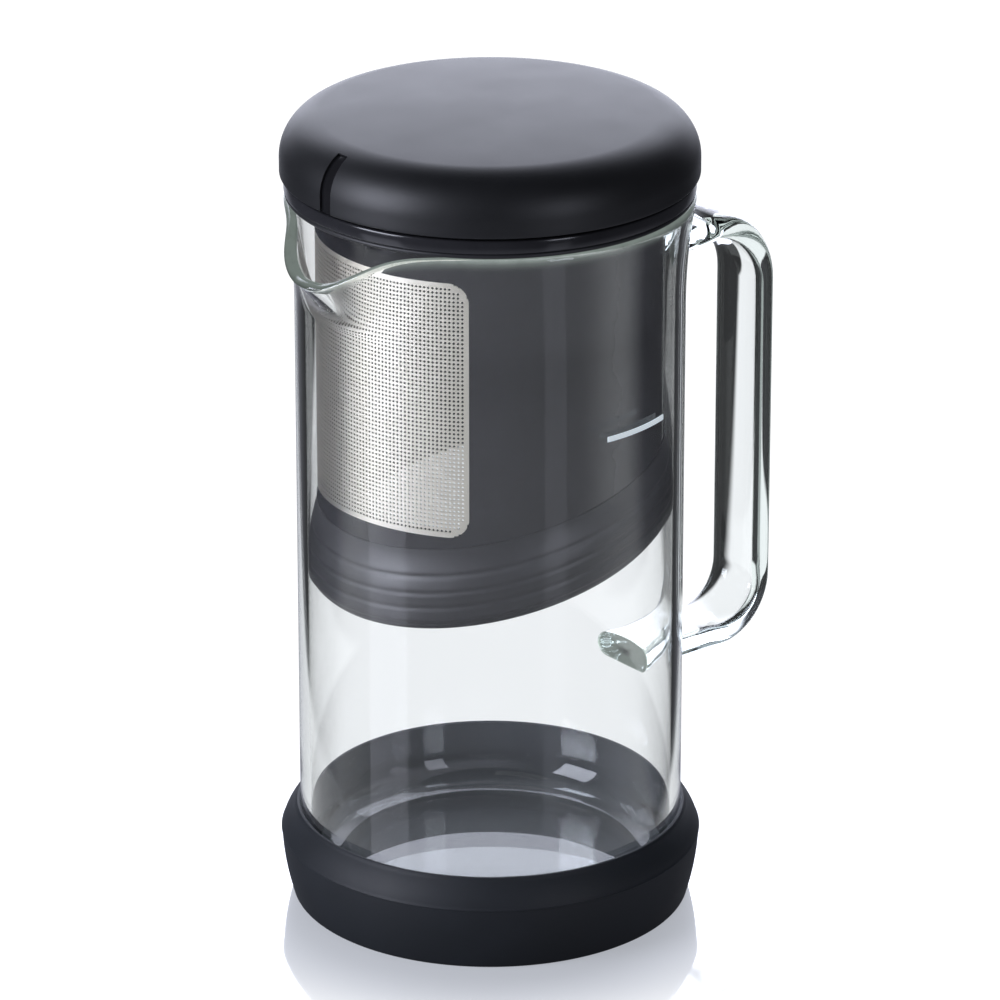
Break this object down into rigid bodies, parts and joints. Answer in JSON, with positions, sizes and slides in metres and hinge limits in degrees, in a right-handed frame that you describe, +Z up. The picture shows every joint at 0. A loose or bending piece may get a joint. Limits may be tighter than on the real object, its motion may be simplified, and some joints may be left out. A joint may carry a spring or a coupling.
{
  "type": "coffee brewer",
  "caption": "Glass brewing jug with pouring lip, strap handle and soft base sleeve, a lift-out filter tube with steel mesh window and slanted skirt seal, and a twist-lock lid.",
  "frame": {"origin": "on the jug's axis, on the surface that the base sleeve stands on", "axes": "+Z up along the jug's axis, -X towards the pouring lip, +X towards the handle"},
  "size_m": [0.1452, 0.1046, 0.2062],
  "materials": {
    "jug_glass": "clear, fire polished",
    "printed_mark": "screen print",
    "black_silicone": "matte",
    "black_gloss_plastic": "glossy",
    "black_matte_plastic": "fine matte",
    "mesh_steel": "perforated sheet"
  },
  "bodies": {
    "jug": {"glass_jug": "jug_glass", "glass_handle": "jug_glass", "fill_mark": "printed_mark", "base_sleeve": "black_silicone"},
    "rim_seal": {"rim_gasket": "black_silicone"},
    "filter": {"filter_tube": "black_gloss_plastic", "filter_mesh": "mesh_steel", "skirt_seal": "black_silicone"},
    "lid": {"lid_cap": "black_matte_plastic", "lid_indicator": "black_gloss_plastic", "lid_plug": "black_gloss_plastic", "lid_gasket": "black_silicone"}
  },
  "joints": [
    {"name": "filter_lift", "type": "slide", "parent": "jug", "child": "rim_seal", "axis": [0, 0, 1], "range_m": [0, 0.11]},
    {"name": "filter_turn", "type": "hinge", "parent": "rim_seal", "child": "filter", "pos_m": [0, 0, 0.1852], "axis": [0, 0, 1], "continuous": true},
    {"name": "lid_twist", "type": "hinge", "parent": "filter", "child": "lid", "pos_m": [0, 0, 0.1886], "axis": [0, 0, 1], "range_deg": [0, 66.5]}
  ]
}
